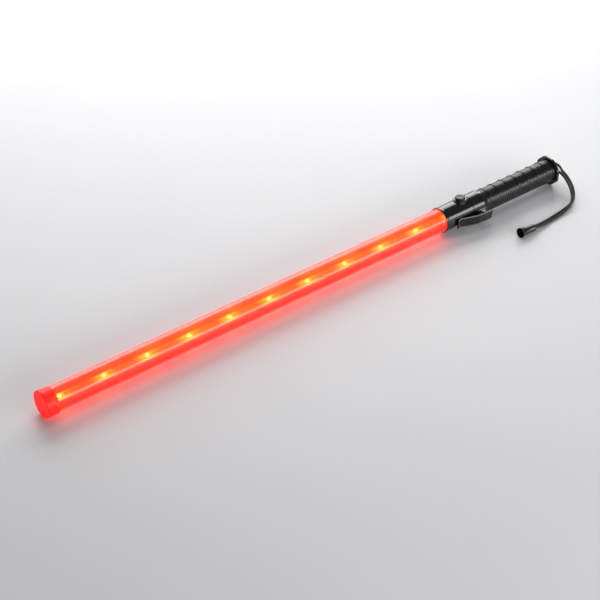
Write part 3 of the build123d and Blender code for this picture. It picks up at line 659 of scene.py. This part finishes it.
# ---- geometry nodes ------------------------------------------------------------------------
class NodeTree:
    """A geometry node tree being made, with named inputs for its sizes"""

    def __init__(self, name):
        self.tree = bpy.data.node_groups.new(name, "GeometryNodeTree")
        self.tree.interface.new_socket("Geometry", in_out="OUTPUT", socket_type="NodeSocketGeometry")
        self.entry = self.tree.nodes.new("NodeGroupInput")
        self.exit = self.tree.nodes.new("NodeGroupOutput")
        self.values = {}

    def size(self, name, value, kind="NodeSocketFloat"):
        """A named input and the value that it gets"""
        socket = self.tree.interface.new_socket(name, in_out="INPUT", socket_type=kind)
        self.values[socket.identifier] = value
        return self.entry.outputs[name]

    def node(self, kind, settings=None, inputs=None, output=0):
        """A node of a kind: its settings first, then the values or links of its sockets"""
        node = self.tree.nodes.new(kind)
        for key, value in (settings or {}).items():
            setattr(node, key, value)
        for key, value in (inputs or {}).items():
            if isinstance(value, bpy.types.NodeSocket):
                self.tree.links.new(value, node.inputs[key])
            else:
                node.inputs[key].default_value = value
        return node.outputs[output]

    def maths(self, operation, *values):
        """Values put through a maths node"""
        return self.node("ShaderNodeMath", {"operation": operation}, dict(enumerate(values)))

    def fall(self, value, full, none):
        """1 where a value is full, falling smoothly to 0 where it is none"""
        limits = {"Value": value, "From Min": none, "From Max": full, "To Min": 0.0, "To Max": 1.0}
        return self.node("ShaderNodeMapRange", {"interpolation_type": "SMOOTHSTEP"}, limits)

    def mesh(self, name, geometry, material):
        """Run the tree and keep its result as a plain mesh"""
        finish = self.size("Finish", material, "NodeSocketMaterial")
        real = self.node("GeometryNodeRealizeInstances", None, {"Geometry": geometry})
        painted = self.node("GeometryNodeSetMaterial", None, {"Geometry": real, "Material": finish})
        self.tree.links.new(painted, self.exit.inputs[0])
        holder = bpy.data.objects.new(name + "_tree", bpy.data.meshes.new(name + "_tree"))
        bpy.context.scene.collection.objects.link(holder)
        modifier = holder.modifiers.new("nodes", "NODES")
        modifier.node_group = self.tree
        for identifier, value in self.values.items():
            modifier[identifier] = value
        bpy.context.view_layer.update()
        made = holder.evaluated_get(bpy.context.evaluated_depsgraph_get())
        mesh = bpy.data.meshes.new_from_object(made)
        mesh.name = name
        bpy.data.objects.remove(holder)
        return mesh


def grip_tree(sizes):
    """Rubber sleeve: rounded fine ribs all round, and rings that stand proud on top"""
    tree = NodeTree("grip_ribs")
    first = tree.size("First ring", GRIP_FIRST_RING)
    start = tree.size("Start", GRIP_START)
    long = tree.size("Length", GRIP_END - GRIP_START)
    base = tree.size("Base radius", GRIP_RADIUS)
    ring_pitch = tree.size("Ring pitch", sizes.ring_pitch)
    ring_height = tree.size("Ring height", sizes.ring_height)
    rib_height = tree.size("Rib height", sizes.rib_height)
    ribs = tree.size("Ribs for each ring", RIBS_FOR_EACH_RING)
    sheet = tree.node(
        "GeometryNodeMeshGrid", None,
        {"Size X": 1.0, "Size Y": 1.0, "Vertices X": GRIP_STEPS_ALONG, "Vertices Y": GRIP_STEPS_ROUND},
    )
    place = tree.node("GeometryNodeInputPosition")
    parts = tree.node("ShaderNodeSeparateXYZ", None, {0: place}).node.outputs
    share = tree.maths("ADD", parts[0], 0.5)
    station = tree.maths("ADD", tree.maths("MULTIPLY", share, long), start)
    angle = tree.maths("MULTIPLY", tree.maths("ADD", parts[1], 0.5), 2 * math.pi)
    phase = tree.maths("DIVIDE", tree.maths("SUBTRACT", station, first), ring_pitch)
    ring_off = tree.maths("ABSOLUTE", tree.maths("SUBTRACT", phase, tree.maths("ROUND", phase)))
    flat = tree.maths("COSINE", angle)
    tall = tree.maths("SINE", angle)
    ring = tree.fall(ring_off, RING_TOP, RING_FOOT)
    ring_share = tree.fall(tall, RING_WHOLE, RING_GONE)
    rib_phase = tree.maths("MULTIPLY", phase, ribs)
    wave = tree.maths("ABSOLUTE", tree.maths("COSINE", tree.maths("MULTIPLY", rib_phase, math.pi)))
    rib = tree.maths("MULTIPLY", tree.maths("POWER", wave, RIB_ROUNDNESS), rib_height)
    lip_share = tree.fall(station, GRIP_START, GRIP_START + GRIP_LIP_WIDTH)
    lip = tree.maths("MULTIPLY", lip_share, sizes.lip_height)
    tail_share = tree.fall(station, GRIP_END, GRIP_END - GRIP_TAIL_WIDTH)
    tail = tree.maths("MULTIPLY", tail_share, sizes.lip_height / 2)
    seam_off = tree.maths("ABSOLUTE", tree.maths("SUBTRACT", angle, SEAM_ANGLE))
    seam = tree.maths("MULTIPLY", tree.fall(seam_off, SEAM_TOP, SEAM_FOOT), ring_height)
    faded_ring = tree.maths("MULTIPLY", tree.maths("MULTIPLY", ring, ring_share), ring_height)
    proud = tree.maths("MAXIMUM", faded_ring, rib)
    proud = tree.maths("MAXIMUM", tree.maths("MAXIMUM", lip, tail), tree.maths("MAXIMUM", proud, seam))
    radius = tree.maths("ADD", base, proud)
    where = tree.node(
        "ShaderNodeCombineXYZ", None,
        {0: station, 1: tree.maths("MULTIPLY", flat, radius), 2: tree.maths("MULTIPLY", tall, radius)},
    )
    sleeve = tree.node("GeometryNodeSetPosition", None, {"Geometry": sheet, "Position": where})
    closed = tree.node("GeometryNodeMergeByDistance", None, {"Geometry": sleeve, "Distance": MERGE_DISTANCE})
    return tree, closed


# ---- pieces ----------------------------------------------------------------------------------
def settings():
    """The sizes and colours in use"""
    scene = bpy.context.scene
    return scene.baton_sizes, scene.baton_colours


class BATON_OT_stage(bpy.types.Operator):
    """Set up the floor, the soft lights and the camera"""

    bl_idname = "baton.stage"
    bl_label = "Stage"

    def execute(self, context):
        self.add_camera(context.scene)
        self.add_floor(context.scene)
        self.add_lights(context.scene)
        return {"FINISHED"}

    def add_camera(self, scene):
        azimuth = math.radians(37.55)
        elevation = math.radians(37.37)
        aim = Vector((-0.0448, -0.0007, 0.0))
        distance = 2.0967
        level = math.cos(elevation)
        forward = Vector((math.sin(azimuth) * level, math.cos(azimuth) * level, -math.sin(elevation)))
        data = bpy.data.cameras.new("camera")
        data.sensor_width = 36.0
        data.lens = 93.0
        camera = bpy.data.objects.new("camera", data)
        camera.location = aim - forward * distance
        camera.rotation_euler = forward.to_track_quat("-Z", "Y").to_euler()
        scene.collection.objects.link(camera)
        scene.camera = camera

    def add_floor(self, scene):
        half = 6.0
        corners = [(-half, -half, 0), (half, -half, 0), (half, half, 0), (-half, half, 0)]
        mesh = bpy.data.meshes.new("floor")
        mesh.from_pydata(corners, [], [(0, 1, 2, 3)])
        grey = (0.62, 0.62, 0.635)
        paler_grey = (0.66, 0.66, 0.67)
        finish = Finish("floor", Roughness=0.42, IOR=1.45)
        finish.set(Base_Color=finish.mix(finish.noise(scale=3.0), grey, paler_grey))
        mesh.materials.append(finish.material)
        floor = bpy.data.objects.new("floor", mesh)
        scene.collection.objects.link(floor)

    def add_lights(self, scene):
        scene.view_settings.view_transform = "Standard"
        world = bpy.data.worlds.new("studio")
        world.use_nodes = True
        background = world.node_tree.nodes["Background"]
        background.inputs["Color"].default_value = (0.93, 0.96, 1.0, 1.0)
        background.inputs["Strength"].default_value = 0.16
        scene.world = world
        self.add_panel(
            scene, "front_panel", place=(0.5, -1.7, 0.52), aim=(0.1, 0.0, 0.0), size=(3.0, 0.62), power=34.0,
        )
        self.add_panel(
            scene, "back_panel", place=(0.9, 1.4, 0.9), aim=(0.3, 0.0, 0.0), size=(2.4, 1.3), power=42.0,
        )
        overhead = self.add_panel(
            scene, "overhead", place=(0.5, 0.3, 2.4), aim=(0.2, 0.0, 0.0), size=(1.6, 1.2), power=12.0,
        )
        overhead.visible_glossy = False

    def add_panel(self, scene, name, place, aim, size, power):
        """Soft rectangular light that faces a point"""
        data = bpy.data.lights.new(name, "AREA")
        data.shape = "RECTANGLE"
        data.size, data.size_y = size
        data.energy = power
        light = bpy.data.objects.new(name, data)
        light.location = place
        light.rotation_euler = (Vector(aim) - Vector(place)).to_track_quat("-Z", "Y").to_euler()
        scene.collection.objects.link(light)
        return light


class BATON_OT_strap(bpy.types.Operator):
    """Braid the two strands of the wrist strap along their routes"""

    bl_idname = "baton.strap"
    bl_label = "Wrist strap"

    def execute(self, context):
        sizes, colours = settings()
        yarn = braided_yarn(colours)
        give(yarn, "strap_knot")
        bell = moulded_plastic("bell_plastic", colours.plastic, roughness=0.25, grain=0.02, coat=0.3)
        give(bell, "strap_bell")
        for name, route in (("strap_strand_a", STRAND_A), ("strap_strand_b", STRAND_B)):
            points = route_points(route)
            mesh = braid_mesh(
                name + "_braid", points, sizes.cord_diameter, sizes.braid_carriers, sizes.braid_lead,
            )
            piece = add_piece(name + "_braid", mesh, yarn, "tail_cap", "cord_black", name)
        return {"FINISHED"}


class BATON_OT_light(bpy.types.Operator):
    """Light the tube, its cap, the diffuser and the diodes"""

    bl_idname = "baton.light"
    bl_label = "Light tube"

    def execute(self, context):
        _, colours = settings()
        give(tube_red(colours), "light_tube")
        give(tip_red(colours), "tip_cap")
        give(prism_glow(colours), "prism_sleeve")
        give(board_glow(colours), "led_board")
        give(diode_light(colours), "leds_upper", "leds_lower")
        components = moulded_plastic("component_black", (0.03, 0.03, 0.03))
        give(components, "resistors", "switch_body")
        holders = moulded_plastic("holder_white", (0.7, 0.7, 0.68))
        give(holders, "tip_board_holder", "head_board_holder", "switch_plunger")
        return {"FINISHED"}


class BATON_OT_head(bpy.types.Operator):
    """Finish the head with its switch"""

    bl_idname = "baton.head"
    bl_label = "Head and button"

    def execute(self, context):
        _, colours = settings()
        housing = moulded_plastic(
            "head_plastic", darker(colours.plastic, 0.7), roughness=0.16, grain=0.015, coat=0.4,
        )
        give(housing, "head_housing")
        bezel = moulded_plastic(
            "bezel_plastic", darker(colours.plastic, 0.8), roughness=0.18, grain=0.01, coat=0.5,
        )
        give(bezel, "button_bezel")
        give(soft_rubber("button_rubber", darker(colours.rubber, 1.6), roughness=0.42), "push_button")
        give(soft_rubber("seal_rubber", darker(colours.rubber, 0.6)), "seam_ring", "tail_o_ring")
        return {"FINISHED"}


class BATON_OT_handle(bpy.types.Operator):
    """Finish the handle body, the tail cap and what is inside them"""

    bl_idname = "baton.handle"
    bl_label = "Handle and tail cap"

    def execute(self, context):
        _, colours = settings()
        shell = moulded_plastic(
            "handle_plastic", darker(colours.plastic, 0.7), roughness=0.18, grain=0.015, coat=0.4,
        )
        give(shell, "handle_body", "tail_cap")
        give(cell_wrap(), "battery_front", "battery_rear")
        give(metal("brass", (0.78, 0.56, 0.24)), "front_contact", "ground_strip", "tail_contact")
        give(metal("spring_steel", (0.6, 0.6, 0.62)), "tail_spring", "button_spring", "clip_spring")
        give(moulded_plastic("wire_red", (0.6, 0.03, 0.03)), "wire_positive")
        give(moulded_plastic("wire_black", (0.02, 0.02, 0.02)), "wire_negative")
        board = moulded_plastic("board_green", (0.03, 0.18, 0.07), roughness=0.3, grain=0.01)
        give(board, "switch_board")
        return {"FINISHED"}


class BATON_OT_grip(bpy.types.Operator):
    """Make the ribbed rubber grip"""

    bl_idname = "baton.grip"
    bl_label = "Rubber grip"

    def execute(self, context):
        sizes, colours = settings()
        rubber = soft_rubber("grip_rubber", colours.rubber, roughness=0.27)
        tree, sleeve = grip_tree(sizes)
        mesh = tree.mesh("grip_ribs", sleeve, rubber)
        self.close_sleeve(mesh)
        mesh.transform(BATON)
        smooth(mesh)
        add_piece("grip_ribs", mesh, rubber, "housing", "grip_rubber", "grip_sleeve")
        return {"FINISHED"}

    def close_sleeve(self, mesh):
        """Add the bore and the two end faces, so that the sleeve is one closed shell"""
        shape = bmesh.new()
        shape.from_mesh(mesh)
        rims = [edge for edge in shape.edges if edge.is_boundary]
        middle_x = (GRIP_START + GRIP_END) / 2
        ends = []
        for front in (True, False):
            rim = [edge for edge in rims if (edge.verts[0].co.x < middle_x) == front]
            made = bmesh.ops.extrude_edge_only(shape, edges=rim)["geom"]
            for item in made:
                if isinstance(item, bmesh.types.BMVert):
                    reach = math.hypot(item.co.y, item.co.z)
                    item.co.y *= GRIP_BORE / reach
                    item.co.z *= GRIP_BORE / reach
            ends += [item for item in made if isinstance(item, bmesh.types.BMEdge)]
        bmesh.ops.bridge_loops(shape, edges=[edge for edge in ends if edge.is_boundary])
        bmesh.ops.recalc_face_normals(shape, faces=shape.faces)
        shape.to_mesh(mesh)
        shape.free()


class BATON_OT_clip(bpy.types.Operator):
    """Finish the belt clip, its bracket, pin and screws"""

    bl_idname = "baton.clip"
    bl_label = "Belt clip"

    def execute(self, context):
        _, colours = settings()
        plastic = moulded_plastic(
            "clip_plastic", darker(colours.plastic, 0.9), roughness=0.20, grain=0.02, coat=0.3,
        )
        give(plastic, "belt_clip", "clip_bracket")
        steel = metal("blackened_steel", (0.16, 0.16, 0.17), roughness=0.32)
        give(steel, "clip_pin", "clip_screws")
        return {"FINISHED"}


class BATON_PT_panel(bpy.types.Panel):
    """Lists the sizes, the colours and the pieces of the baton"""

    bl_idname = "BATON_PT_panel"
    bl_label = "Traffic baton"
    bl_space_type = "VIEW_3D"
    bl_region_type = "UI"
    bl_category = "Baton"

    def draw(self, context):
        layout = self.layout
        for group in (context.scene.baton_sizes, context.scene.baton_colours):
            box = layout.box()
            for name in group.__annotations__:
                box.prop(group, name)
        for operator in PIECES:
            layout.operator(operator.bl_idname)


PIECES = (
    BATON_OT_stage, BATON_OT_strap, BATON_OT_light, BATON_OT_head,
    BATON_OT_handle, BATON_OT_grip, BATON_OT_clip,
)
CLASSES = (BatonSizes, BatonColours, *PIECES, BATON_PT_panel)


def register():
    """Register the classes and the groups that hold the settings"""
    for cls in CLASSES:
        bpy.utils.register_class(cls)
    bpy.types.Scene.baton_sizes = bpy.props.PointerProperty(type=BatonSizes)
    bpy.types.Scene.baton_colours = bpy.props.PointerProperty(type=BatonColours)


def unregister():
    """Take the classes and the groups away again"""
    del bpy.types.Scene.baton_colours
    del bpy.types.Scene.baton_sizes
    for cls in reversed(CLASSES):
        bpy.utils.unregister_class(cls)


def main():
    """Make every piece in order"""
    register()
    bpy.ops.baton.stage()
    bpy.ops.baton.strap()
    bpy.ops.baton.light()
    bpy.ops.baton.head()
    bpy.ops.baton.handle()
    bpy.ops.baton.grip()
    bpy.ops.baton.clip()


if __name__ == "__main__":
    main()
